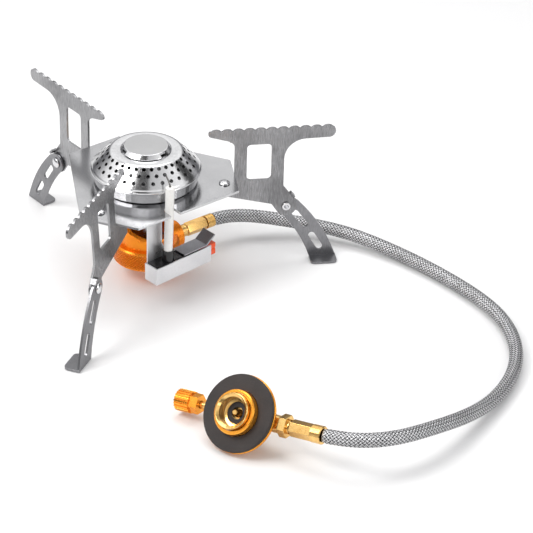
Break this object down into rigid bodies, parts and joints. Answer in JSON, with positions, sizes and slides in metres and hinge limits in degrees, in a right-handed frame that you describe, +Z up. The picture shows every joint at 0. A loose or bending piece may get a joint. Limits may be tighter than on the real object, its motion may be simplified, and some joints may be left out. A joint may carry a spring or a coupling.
{
  "type": "camping stove",
  "caption": "Folding gas camping stove with three swinging pot supports on hinged legs, a perforated burner, a piezo igniter and a braided hose to a canister valve.",
  "frame": {"origin": "on the ground, under the middle of the box round the burner and its supports; the hose and the canister valve aren't counted", "axes": "+Z up, out of the burner; +X to the right and +Y to the back, seen from the side that the canister valve lies on"},
  "size_m": [0.2836, 0.2808, 0.087],
  "materials": {
    "plate_steel": "bright polished sheet",
    "support_steel": "satin sheet",
    "leg_steel": "satin sheet",
    "rivet_steel": "bright",
    "burner_steel": "polished",
    "disc_steel": "matt",
    "tube_steel": "turned",
    "orange_anodised": "satin anodised",
    "brass_fittings": "turned",
    "black_rubber": "matt",
    "hose_braid": "braided wire",
    "igniter_case": "satin",
    "igniter_strip": "satin",
    "piezo_black": "gloss",
    "button_red": "satin",
    "white_ceramic": "glazed",
    "wire_steel": "drawn wire"
  },
  "bodies": {
    "stove": {"adapter_flange": "orange_anodised", "back_cup_screw": "rivet_steel", "base_cup": "orange_anodised", "burner_cap": "burner_steel", "burner_pan": "burner_steel", "button_spring": "wire_steel", "cap_disc": "disc_steel", "coupling_insert": "brass_fittings", "coupling_pin": "brass_fittings", "coupling_seal": "black_rubber", "electrode_boot": "black_rubber", "electrode_tube": "white_ceramic", "electrode_wire": "wire_steel", "flange_gasket": "black_rubber", "front_arm_rivet": "rivet_steel", "front_cup_screw": "rivet_steel", "gas_hose": "hose_braid", "gas_jet": "brass_fittings", "gland_nut": "brass_fittings", "igniter_bracket": "igniter_case", "igniter_clip": "igniter_strip", "inlet_nut": "brass_fittings", "inlet_sleeve": "brass_fittings", "jet_holder": "brass_fittings", "left_arm_rivet": "rivet_steel", "main_plate": "plate_steel", "mixing_tube": "tube_steel", "outlet_crimp": "brass_fittings", "outlet_nut": "brass_fittings", "outlet_sleeve": "brass_fittings", "piezo_body": "piezo_black", "right_arm_rivet": "rivet_steel", "spindle_seal": "black_rubber", "valve_body": "brass_fittings"},
    "right_arm": {"right_support": "support_steel", "right_leg_rivet": "rivet_steel"},
    "left_arm": {"left_support": "support_steel", "left_leg_rivet": "rivet_steel"},
    "front_arm": {"front_support": "support_steel", "front_leg_rivet": "rivet_steel"},
    "right_foot": {"right_leg": "leg_steel"},
    "left_foot": {"left_leg": "leg_steel"},
    "front_foot": {"front_leg": "leg_steel"},
    "button": {"igniter_button": "button_red"},
    "knob": {"flow_knob": "orange_anodised", "needle_spindle": "brass_fittings"}
  },
  "joints": [
    {"name": "right_swing", "type": "hinge", "parent": "stove", "child": "right_arm", "pos_m": [0.02665, 0.00834, 0.0578], "axis": [0, 0, 1], "range_deg": [-140, 0]},
    {"name": "right_leg_fold", "type": "hinge", "parent": "right_arm", "child": "right_foot", "pos_m": [0.06106, 0.02875, 0.036], "axis": [-0.165, 0.9863, 0], "range_deg": [0, 110]},
    {"name": "left_swing", "type": "hinge", "parent": "stove", "child": "left_arm", "pos_m": [-0.03777, 0.0487, 0.0578], "axis": [0, 0, 1], "range_deg": [-140, 0]},
    {"name": "left_leg_fold", "type": "hinge", "parent": "left_arm", "child": "left_foot", "pos_m": [-0.07265, 0.06829, 0.036], "axis": [-0.7716, -0.6361, 0], "range_deg": [0, 110]},
    {"name": "front_swing", "type": "hinge", "parent": "stove", "child": "front_arm", "pos_m": [-0.04051, -0.02727, 0.0578], "axis": [0, 0, 1], "range_deg": [-140, 0]},
    {"name": "front_leg_fold", "type": "hinge", "parent": "front_arm", "child": "front_foot", "pos_m": [-0.03874, -0.06776, 0.03617], "axis": [0.935, -0.3496, 0.0593], "range_deg": [0, 110]},
    {"name": "button_press", "type": "slide", "parent": "stove", "child": "button", "axis": [-0.7193, -0.6947, 0], "range_m": [0, 0.0035], "stiffness_N_per_m": 1200, "springref_m": -0.001, "deforming": ["button_spring"]},
    {"name": "knob_turn", "type": "hinge", "parent": "stove", "child": "knob", "pos_m": [0.04299, -0.15048, 0.0131], "axis": [-0.8398, 0.5248, -0.1392], "range_deg": [0, 540]}
  ]
}
